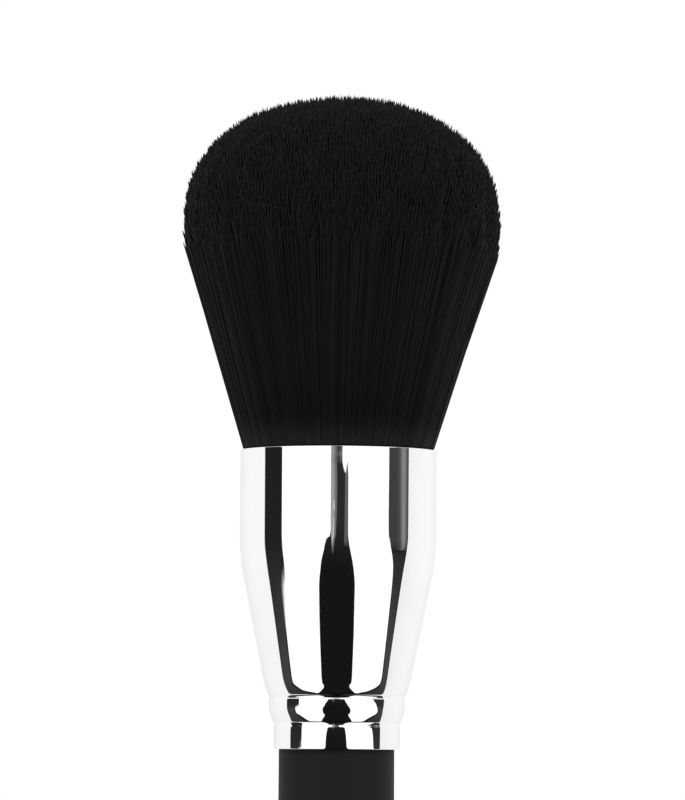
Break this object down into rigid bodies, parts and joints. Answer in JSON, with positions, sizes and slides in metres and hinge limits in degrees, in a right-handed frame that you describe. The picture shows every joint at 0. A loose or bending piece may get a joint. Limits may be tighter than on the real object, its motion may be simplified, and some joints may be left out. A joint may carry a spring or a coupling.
{
  "type": "powder brush",
  "caption": "Round powder brush: a dense domed head of fibre in a polished tapering metal ferrule with rolled bands, on a turned lacquered wooden handle.",
  "frame": {"origin": "centre of the flat on the handle's butt, the lowest point of the upright brush", "axes": "+Z along the brush's axis from the handle's butt to the hair; the brush is round, so X and Y are any two directions across it"},
  "size_m": [0.0425, 0.0427, 0.1902],
  "materials": {
    "handle_lacquer": "matte black lacquer on turned wood",
    "ferrule_metal": "polished plating on drawn metal",
    "bristle_fibre": "soft near-black fibre",
    "thread": "waxed binding thread",
    "root_resin": "cast amber resin",
    "wood_adhesive": "set wood glue"
  },
  "bodies": {
    "root": {"handle": "handle_lacquer", "ferrule": "ferrule_metal", "bristles": "bristle_fibre", "binding_thread": "thread", "root_glue": "root_resin", "tenon_glue": "wood_adhesive"}
  },
  "joints": []
}
